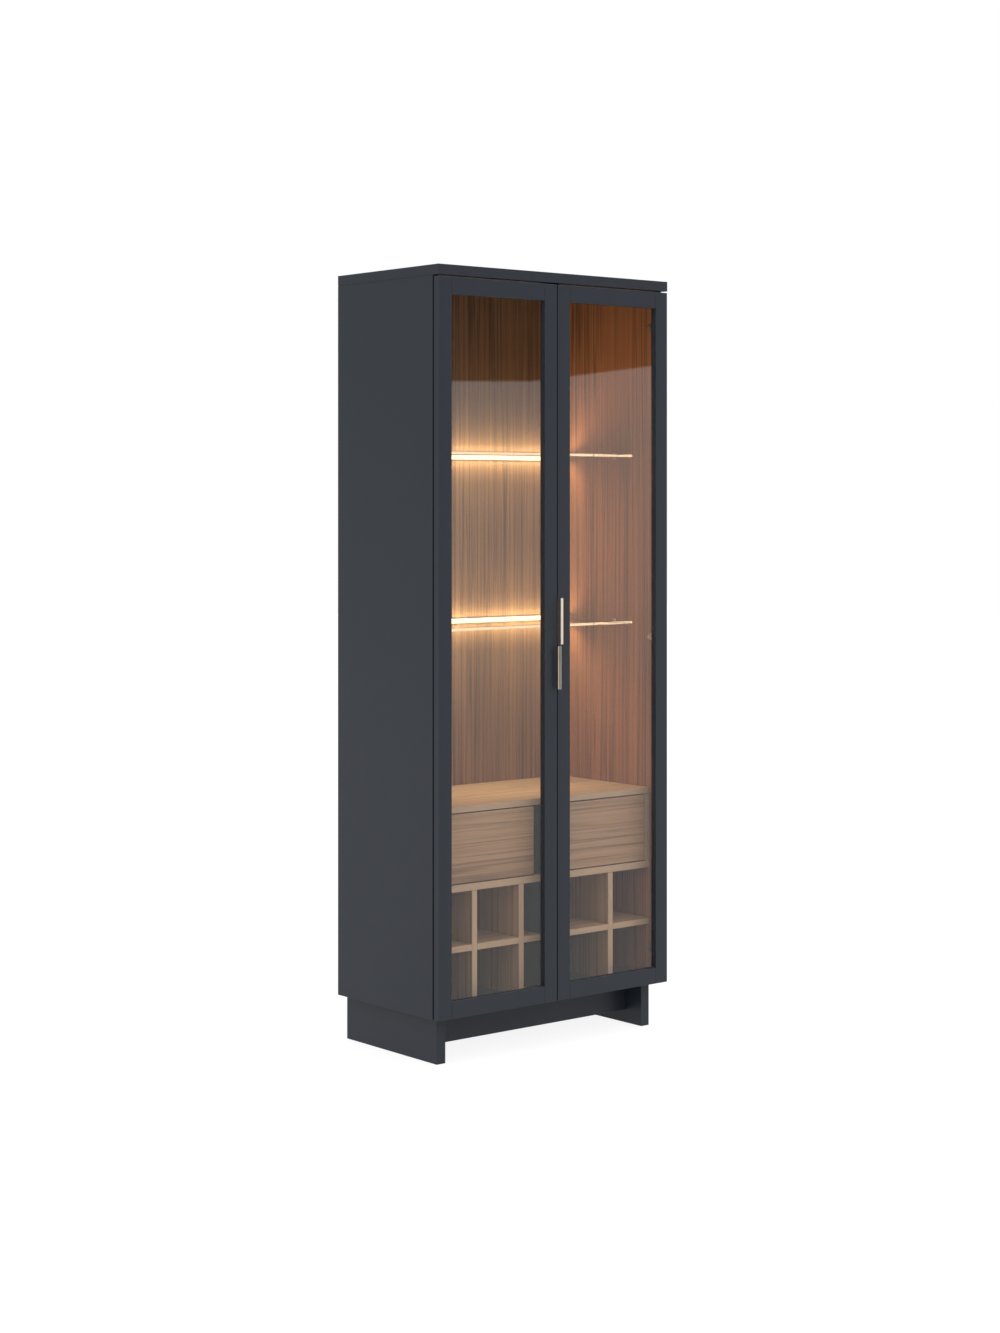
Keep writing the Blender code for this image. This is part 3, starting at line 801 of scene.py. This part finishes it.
class CABINET_OT_light_bars(bpy.types.Operator):
    """Build each light bar: aluminium channel, opal diffuser and end caps, and its lamps"""
    bl_idname = "cabinet.light_bars"
    bl_label = "Light bars"

    def execute(self, context):
        for level in LEVELS:
            self.bar(level)
            self.lamps(level)
        return {"FINISHED"}

    def bar(self, level):
        """The diffuser wraps the shelf's back edge; the channel holds it from behind."""
        span = Span(f"light_bar_{level}")
        glass = Span(f"glass_shelf_{level}")
        cap, cap_edge, wall, corner = 3.0 * MM, 0.6 * MM, 1.5 * MM, 1.0 * MM
        length = span.size.x - 2 * cap
        across = Matrix(((0, 0, 1, span.low.x + cap), (1, 0, 0, 0), (0, 1, 0, 0), (0, 0, 0, 1)))

        front, back = span.low.y, span.high.y
        bottom, top = span.low.z + SKIN, span.high.z - SKIN
        slot_low, slot_high = glass.low.z - GRIP, glass.high.z + GRIP
        slot_end = glass.high.y + 0.4 * MM
        rear = back - 4.0 * MM
        outline = [(front + corner, bottom), (front, bottom + corner), (front, slot_low),
                   (slot_end, slot_low), (slot_end, slot_high), (front, slot_high),
                   (front, top - corner), (front + corner, top), (rear, top), (rear, bottom)]
        mesh = prism(f"light_diffuser_{level}", outline, length)
        diffuser = show(f"light_diffuser_{level}", mesh, "carcass", shared_material("diffuser"),
                        across)
        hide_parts(f"light_bar_{level}")

        lip = rear + SKIN
        bottom, top = span.low.z, span.high.z
        channel = [(lip, bottom), (back, bottom), (back, top), (lip, top), (lip, top - wall),
                   (back - wall, top - wall), (back - wall, bottom + wall), (lip, bottom + wall)]
        mesh = prism(f"light_channel_{level}", channel, length)
        show(f"light_channel_{level}", mesh, "carcass", shared_material("aluminium"), across)

        for side, x in (("left", span.low.x), ("right", span.high.x - cap + SKIN)):
            mesh = rounded_block(f"light_cap_{level}_{side}", (x, slot_end, bottom),
                                 (x + cap - SKIN, back, top), cap_edge)
            show(f"light_cap_{level}_{side}", mesh, "carcass", shared_material("aluminium"))

    def lamps(self, level):
        """The light that the bar gives above and below its shelf: close glow, wide wash, far throw.

        The throw leans forward by its slope, with its own share of the power. The top one and the
        bottom one have further to reach than the two between the shelves.
        """
        chosen = settings().light
        reach = {"upper above": (0.7, 1.05), "lower below": (0.42, 1.30)}
        for label, up in (("above", 1.0), ("below", -1.0)):
            slope, share = reach.get(f"{level} {label}", (0.35, 0.7))
            glow = self.lamp(f"glow_{level}_{label}", level, up, chosen.glow, chosen.glow_gap)
            glow.color = chosen.near
            self.lamp(f"wash_{level}_{label}", level, up, chosen.wash, chosen.lamp_gap)
            power = chosen.throw * share
            throw = self.lamp(f"throw_{level}_{label}", level, up, power, chosen.lamp_gap, slope)
            throw.spread = chosen.throw_angle
            if (level, label) == ("upper", "above"):
                throw.color = chosen.top

    def lamp(self, name, level, up, power, gap, slope=0.0):
        """A long narrow lamp just outside the bar, which itself can't be seen."""
        end_margin, width, clear = 30.0 * MM, 10.0 * MM, 1.0 * MM
        span = Span(f"light_bar_{level}")
        lamp = bpy.data.lights.new(name, "AREA")
        lamp.shape = "RECTANGLE"
        lamp.size = span.size.x - end_margin
        lamp.size_y = width
        lamp.energy = power
        lamp.color = settings().light.lamp
        obj = bpy.data.objects.new(name, lamp)
        bpy.context.scene.collection.objects.link(obj)
        height = span.middle.z + up * (span.high.z - span.middle.z + clear)
        obj.location = (span.middle.x, Span("back_panel").low.y - gap, height)
        obj.rotation_euler = Vector((0.0, slope, -up)).to_track_quat("Z", "Y").to_euler()
        obj.visible_camera = False
        obj.visible_glossy = False
        obj.visible_transmission = False
        return lamp


class CABINET_OT_pulls(bpy.types.Operator):
    """Build the two staggered edge pulls with rounded edges, and their screws"""
    bl_idname = "cabinet.pulls"
    bl_label = "Pulls"

    def execute(self, context):
        for side in SIDES:
            self.pull(side)
        return {"FINISHED"}

    def pull(self, side):
        """A stem on the stile's edge and a slanted lip, drawn outward from the gap between the doors."""
        span = Span(f"pull_{side}")
        outward, edge = (-1.0, span.high.x) if side == "left" else (1.0, span.low.x)
        width = span.size.x
        front, foot = span.low.y, span.high.y
        slant, thick, stem, corner, tip = 1.6 * MM, 1.8 * MM, 4.3 * MM, 1.0 * MM, 0.6 * MM
        under = front + thick + slant / 2
        outline = [(0.0, foot), (0.0, front + corner), (corner * 0.3, front + corner * 0.3),
                   (corner, front + 0.1 * MM), (width - tip, front + slant - SKIN),
                   (width - 0.1 * MM, front + slant + 0.4 * MM), (width, front + slant + thick * 0.6),
                   (width - tip, front + slant + thick), (stem + 0.8 * MM, under), (stem, under + 0.9 * MM),
                   (stem, foot)]
        mesh = prism(f"edge_pull_{side}", [(edge + outward * x, y) for x, y in outline],
                     span.size.z, 0.25 * MM, 2)
        mesh.transform(Matrix.Translation((0.0, 0.0, span.low.z)))
        pull = show(f"edge_pull_{side}", mesh, f"door_{side}", shared_material("brass"))
        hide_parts(f"pull_{side}")
        back = Span(f"stile_meeting_{side}").high.y
        for number, share in enumerate((0.2, 0.8), 1):
            point = (edge + outward * 6.0 * MM, back, span.low.z + span.size.z * share)
            screw(f"pull_screw_{side}_{number}", point, (0, 1, 0), f"door_{side}")


class CABINET_OT_hinges(bpy.types.Operator):
    """Build the concealed hinges: cups in the doors, arms and plates on the carcass"""
    bl_idname = "cabinet.hinges"
    bl_label = "Hinges"

    def execute(self, context):
        for side in SIDES:
            for number in (1, 2, 3):
                self.cup(side, number)
                self.arm(side, number)
        return {"FINISHED"}

    def cup(self, side, number):
        """Give the CAD cup its finish and fix its flange with two screws."""
        node = f"hinge_cup_{side}_{number}"
        finish_node(node, shared_material("steel"))
        span = Span(node)
        reach = span.size.z / 2 - 4.2 * MM
        for label, way in (("low", -1.0), ("high", 1.0)):
            point = (span.middle.x, span.high.y, span.middle.z + way * reach)
            screw(f"cup_screw_{side}_{number}_{label}", point, (0, 1, 0), f"door_{side}",
                  2.6 * MM)

    def arm(self, side, number):
        """A pressed arm on a base plate, tapered to its nose, with its two adjusting screws."""
        span = Span(f"hinge_arm_{side}_{number}")
        inward, wall = (1.0, span.low.x) if side == "left" else (-1.0, span.high.x)
        near, far = span.low.y, span.high.y
        half, height = span.size.z / 2, span.size.x
        plate, plate_start, taper, corner = 2.0 * MM, 6.0 * MM, 8.0 * MM, 3.0 * MM

        face = wall + inward * plate
        mesh = rounded_block("hinge_plate", (min(wall, face), near + plate_start, span.low.z),
                             (max(wall, face), far, span.high.z), 0.6 * MM)
        show(f"hinge_plate_{side}_{number}", mesh, "carcass", shared_material("steel"))

        lower = [(near, -half * 0.42), (near + taper, -half * 0.62), (far - corner, -half * 0.62),
                 (far, -half * 0.45)]
        upper = [(y, -z) for y, z in reversed(lower)]
        mesh = prism("hinge_arm", lower + upper, height - plate - SKIN, 0.9 * MM, 2)
        mesh.transform(Matrix(((0, 0, inward, face + inward * SKIN), (1, 0, 0, 0),
                               (0, 1, 0, span.middle.z), (0, 0, 0, 1))))
        if inward < 0:
            mesh.flip_normals()
        arm = show(f"hinge_body_{side}_{number}", mesh, "carcass", shared_material("steel"))
        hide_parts(f"hinge_arm_{side}_{number}")
        for label, y in (("front", near + 10.0 * MM), ("back", far - 6.0 * MM)):
            point = (wall + inward * height, y, span.middle.z)
            screw(f"arm_screw_{side}_{number}_{label}", point, (inward, 0, 0), "carcass",
                  2.8 * MM)


class CABINET_OT_shelf_clips(bpy.types.Operator):
    """Build the chrome clips that carry the front of each glass shelf"""
    bl_idname = "cabinet.shelf_clips"
    bl_label = "Shelf clips"

    def execute(self, context):
        for level in LEVELS:
            for side in SIDES:
                self.clip(level, side)
        return {"FINISHED"}

    def clip(self, level, side):
        """A block on the lining with a slot for the glass and rounded jaws below and above it."""
        span = Span(f"shelf_clip_{level}_{side}")
        glass = Span(f"glass_shelf_{level}")
        inward, wall = (1.0, span.low.x) if side == "left" else (-1.0, span.high.x)
        reach = span.size.x
        bottom, top = span.low.z, span.high.z
        slot_low, slot_high = glass.low.z - GRIP, glass.high.z + GRIP
        web, bend, corner = 2.1 * MM, 1.5 * MM, 1.0 * MM
        nose = reach - 2 * bend
        outline = [(0.0, bottom + corner), (corner, bottom), (nose, bottom)]
        outline += rounded_corner((nose, slot_low - 2.7 * MM), bend, -60.0, 40.0)
        outline += [(reach, slot_low), (web, slot_low), (web, slot_high), (reach, slot_high)]
        outline += rounded_corner((nose, slot_high + 2.2 * MM), bend, -20.0, 80.0)
        outline += [(reach - 5.0 * MM, top), (corner, top), (0.0, top - corner)]
        mesh = prism(f"clip_{level}_{side}", outline, span.size.y, 0.3 * MM, 1)
        mesh.transform(Matrix(((inward, 0, 0, wall), (0, 0, 1, span.low.y), (0, 1, 0, 0), (0, 0, 0, 1))))
        if inward > 0:
            mesh.flip_normals()
        clip = show(f"clip_{level}_{side}", mesh, "carcass", shared_material("chrome"))
        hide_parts(f"shelf_clip_{level}_{side}")
        point = (wall + inward * reach * 0.55, span.middle.y, bottom)
        screw(f"clip_screw_{level}_{side}", point, (0, 0, -1), "carcass", 2.2 * MM)


class CABINET_OT_fittings(bpy.types.Operator):
    """Add the small fittings: magnet catch, strikes, bumpers, back screws and cable grommet"""
    bl_idname = "cabinet.fittings"
    bl_label = "Fittings"

    MAGNETS = {"left": -15.0 * MM, "right": 15.0 * MM}
    MAGNET_HALF = 9.0 * MM

    def execute(self, context):
        self.catch()
        for side in SIDES:
            self.strike(side)
            self.bumpers(side)
        self.back_screws()
        self.grommet()
        return {"FINISHED"}

    def catch(self):
        """A double magnet catch under the top panel."""
        half, depth, tall, rim = 30.0 * MM, 20.0 * MM, 14.0 * MM, 3.0 * MM
        front = Span("stile_meeting_left").high.y + 4.5 * MM
        under = Span("top_panel").low.z
        bottom, top = under - tall, under - 0.3 * MM
        body = rounded_block("catch_body", (-half, front, bottom), (half, front + depth, top), 1.5 * MM, 3)
        show("catch_body", body, "carcass", shared_material("black_plastic"))
        for side, x in self.MAGNETS.items():
            face = rounded_block("catch_magnet", (x - self.MAGNET_HALF, front - 1.5 * MM, bottom + rim),
                                 (x + self.MAGNET_HALF, front + 1.0 * MM, top - rim), 0.4 * MM)
            show(f"catch_magnet_{side}", face, "carcass", shared_material("steel"))

    def strike(self, side):
        """The thin steel plate on the door that meets the magnet."""
        x = self.MAGNETS[side]
        stile = Span(f"stile_meeting_{side}")
        bottom, top = stile.high.z - 18.0 * MM, stile.high.z - 4.0 * MM
        back, face = stile.high.y + SKIN, stile.high.y + 1.4 * MM
        plate = rounded_block("strike", (x - self.MAGNET_HALF, back, bottom),
                              (x + self.MAGNET_HALF, face, top), 0.5 * MM)
        show(f"strike_{side}", plate, f"door_{side}", shared_material("steel"))
        screw(f"strike_screw_{side}", (x, face, (bottom + top) / 2), (0, 1, 0), f"door_{side}",
              2.4 * MM)

    def bumpers(self, side):
        """Soft domes that stop the door on the edge of the bottom panel."""
        door = Span(f"rail_bottom_{side}")
        profile = [(0.0, 2.6 * MM), (2.2 * MM, 2.3 * MM), (3.8 * MM, 1.3 * MM), (4.2 * MM, 0.0), (0.0, 0.0)]
        dome = turned("bumper", profile, 24)
        z = Span("bottom_panel").middle.z + 1.0 * MM
        for number, share in enumerate((0.08, 0.92), 1):
            place = facing((door.low.x + door.size.x * share, door.high.y + 0.1 * MM, z), (0, 1, 0))
            show(f"bumper_{side}_{number}", dome, f"door_{side}", shared_material("clear_rubber"),
                 place, smooth=True)

    def back_screws(self):
        """Screws that fix the back panel down both edges."""
        panel = Span("back_panel")
        inset, end, count = 12.0 * MM, 30.0 * MM, 9
        for side, x in (("left", panel.low.x + inset), ("right", panel.high.x - inset)):
            for number in range(count):
                z = panel.low.z + end + (panel.size.z - 2 * end) * number / (count - 1)
                screw(f"back_screw_{side}_{number + 1}", (x, panel.high.y, z), (0, 1, 0),
                      "carcass")

    def grommet(self):
        """A plugged cable outlet low on the back panel."""
        panel = Span("back_panel")
        profile = [(0.0, 0.8 * MM), (20.0 * MM, 0.8 * MM), (21.5 * MM, 1.8 * MM), (26.0 * MM, 1.8 * MM),
                   (28.5 * MM, 0.8 * MM), (29.0 * MM, 0.0), (0.0, 0.0)]
        place = facing((panel.middle.x + 0.25, panel.high.y + 0.1 * MM, panel.low.z + 0.20), (0, 1, 0))
        show("cable_grommet", turned("cable_grommet", profile, 48), "carcass",
             shared_material("black_plastic"), place, smooth=True)


class CABINET_OT_stage(bpy.types.Operator):
    """Set the camera, the pale floor and the soft studio light"""
    bl_idname = "cabinet.stage"
    bl_label = "Stage"

    def execute(self, context):
        self.camera(context)
        self.floor(context)
        self.studio(context)
        context.scene.view_settings.view_transform = "Standard"
        return {"FINISHED"}

    def camera(self, context):
        chosen = settings().stage
        corner = Vector((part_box("top_panel")[0][0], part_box("stile_hinge_left")[0][1], 0.0))
        lens = bpy.data.cameras.new("camera")
        lens.lens = chosen.lens
        lens.shift_y = chosen.shift
        lens.clip_end = 60.0
        camera = bpy.data.objects.new("camera", lens)
        camera.location = corner + Vector(chosen.eye)
        camera.rotation_euler = (math.pi / 2, 0.0, -chosen.heading)
        context.scene.collection.objects.link(camera)
        context.scene.camera = camera

    def floor(self, context):
        """A plain pale floor that keeps a faint contact shadow and goes on to the horizon."""
        reach, drop = 20.0, 0.6 * MM
        # The near level is the lower one: painted shade next to the cabinet.
        seen_level, near_painted_shade_level, far_level = 0.89, 0.50, 0.71
        shape = bmesh.new()
        bmesh.ops.create_grid(shape, x_segments=1, y_segments=1, size=reach)
        floor = bpy.data.objects.new("stage_floor", to_mesh(shape, "stage_floor"))
        floor.location = (0.0, 0.0, -drop)
        context.scene.collection.objects.link(floor)
        made, tree, shader = start_material("stage_floor_finish")
        shader.inputs["Base Color"].default_value = (0.16, 0.16, 0.16, 1.0)
        shader.inputs["Roughness"].default_value = 1.0
        shader.inputs["Specular IOR Level"].default_value = 0.0
        shader.inputs["Emission Strength"].default_value = 1.0

        where = object_coordinates(tree)
        away = add(tree, "ShaderNodeVectorMath", {0: where}, operation="LENGTH").outputs["Value"]
        x, y = add(tree, "ShaderNodeSeparateXYZ", {0: where}).outputs[:2]
        front = calc(tree, "DIVIDE", calc(tree, "MULTIPLY", y, -1.0), away)
        flag = place_group(tree, flag_group, {"Right": calc(tree, "DIVIDE", x, away), "Front": front})
        flag = calc(tree, "MULTIPLY", flag.outputs["Mask"], spread(tree, away, 2.5, 5.0))
        # For all but camera rays the floor glows dimmer near the cabinet. This is painted shade that the
        # panes reflect and that lights the cabinet. The glow is nearly dark in a patch to the front right
        # where the flag stands.
        bounce_and_painted_shade = spread(tree, away, 0.5, 16.0, near_painted_shade_level, far_level)
        bounce_and_painted_shade = calc(tree, "MULTIPLY", bounce_and_painted_shade, spread(tree, flag, 0.0, 1.0, 1.0, 0.05))
        seen = add(tree, "ShaderNodeLightPath").outputs["Is Camera Ray"]
        extra = calc(tree, "MULTIPLY", seen, calc(tree, "SUBTRACT", seen_level, bounce_and_painted_shade))
        feed(tree, shader, Emission_Color=thrice(tree, calc(tree, "ADD", bounce_and_painted_shade, extra)))
        floor.data.materials.append(made)

    def studio(self, context):
        """A white room, brighter overhead and high in front, with a dark strip and a dark flag.

        Slope is the rise of a direction over its level run, and right is its share of +X. The dark
        strip stands above the horizon in front and ends at the softbox, and the flag stands further
        left. The room is dimmer below the horizon and at the back left.
        """
        chosen = settings().stage
        strip_dim, flag_dim, back_dim, below_dim = 0.02, 0.10, 0.46, 0.88
        world = bpy.data.worlds.new("studio")
        context.scene.world = world
        world.use_nodes = True
        tree = world.node_tree
        tree.nodes.clear()
        way = add(tree, "ShaderNodeTexCoord").outputs["Generated"]
        x, y, z = add(tree, "ShaderNodeSeparateXYZ", {0: way}).outputs[:3]
        flat = calc(tree, "SQRT", calc(tree, "SUBTRACT", 1.0, calc(tree, "MULTIPLY", z, z)))
        flat = calc(tree, "MAXIMUM", flat, 0.001)
        slope = calc(tree, "DIVIDE", z, flat)
        right = calc(tree, "DIVIDE", x, flat)
        in_front = spread(tree, y, 0.10, -0.20)

        light = spread(tree, slope, 0.0, 0.4, chosen.backdrop, chosen.overhead)
        softbox = calc(tree, "MULTIPLY", spread(tree, slope, 0.30, 0.45), spread(tree, y, 0.0, -0.25))
        light = calc(tree, "ADD", light, calc(tree, "MULTIPLY", softbox, chosen.front_box))
        light = calc(tree, "MULTIPLY", light, spread(tree, slope, -0.08, 0.0, below_dim, 1.0))
        back_left = calc(tree, "MULTIPLY", spread(tree, y, 0.1, 0.6), spread(tree, x, 0.2, -0.3))
        light = calc(tree, "MULTIPLY", light, spread(tree, back_left, 0.0, 1.0, 1.0, back_dim))

        strip_foot = spread(tree, right, 0.645, 0.690, 0.0510, 0.0585)
        strip = spread(tree, calc(tree, "SUBTRACT", slope, strip_foot), -0.0006, 0.0006)
        strip = calc(tree, "MULTIPLY", strip, spread(tree, slope, 0.34, 0.22))
        strip = calc(tree, "MULTIPLY", strip, in_front)
        light = calc(tree, "MULTIPLY", light, spread(tree, strip, 0.0, 1.0, 1.0, strip_dim))

        flag = place_group(tree, flag_group, {"Right": right, "Front": calc(tree, "MULTIPLY", y, -1.0)})
        level_with_it = spread(tree, calc(tree, "ABSOLUTE", slope), 0.45, 0.25)
        flag = calc(tree, "MULTIPLY", flag.outputs["Mask"], level_with_it)
        light = calc(tree, "MULTIPLY", light, spread(tree, flag, 0.0, 1.0, 1.0, flag_dim))

        seen = add(tree, "ShaderNodeLightPath").outputs["Is Camera Ray"]
        light = calc(tree, "ADD", calc(tree, "MULTIPLY", light, calc(tree, "SUBTRACT", 1.0, seen)), seen)
        glow = add(tree, "ShaderNodeBackground", {"Color": (1.0, 1.0, 1.0, 1.0), "Strength": light})
        out = add(tree, "ShaderNodeOutputWorld")
        tree.links.new(glow.outputs[0], out.inputs["Surface"])


OPERATORS = (
    CABINET_OT_painted_boards,
    CABINET_OT_walnut_boards,
    CABINET_OT_drawers,
    CABINET_OT_glass,
    CABINET_OT_light_bars,
    CABINET_OT_pulls,
    CABINET_OT_hinges,
    CABINET_OT_shelf_clips,
    CABINET_OT_fittings,
    CABINET_OT_stage,
)


class CABINET_PT_sidebar(bpy.types.Panel):
    """The cabinet's settings and steps"""
    bl_idname = "CABINET_PT_sidebar"
    bl_label = "China Cabinet"
    bl_space_type = "VIEW_3D"
    bl_region_type = "UI"
    bl_category = "Cabinet"

    def draw(self, context):
        chosen = context.scene.cabinet
        for group in ("paint", "wood", "glass", "light", "metal", "stage"):
            box = self.layout.box()
            box.label(text=group.capitalize())
            part = getattr(chosen, group)
            for name in part.__annotations__:
                box.prop(part, name)
        for step in OPERATORS:
            self.layout.operator(step.bl_idname)


CLASSES = (
    PaintSettings,
    WoodSettings,
    GlassSettings,
    LightSettings,
    MetalSettings,
    StageSettings,
    CabinetSettings,
    *OPERATORS,
    CABINET_PT_sidebar,
)


def register():
    for item in CLASSES:
        bpy.utils.register_class(item)
    bpy.types.Scene.cabinet = PointerProperty(type=CabinetSettings)


def unregister():
    del bpy.types.Scene.cabinet
    for item in reversed(CLASSES):
        bpy.utils.unregister_class(item)


def main():
    register()
    for step in OPERATORS:
        group, name = step.bl_idname.split(".")
        getattr(getattr(bpy.ops, group), name)()


if __name__ == "__main__":
    main()
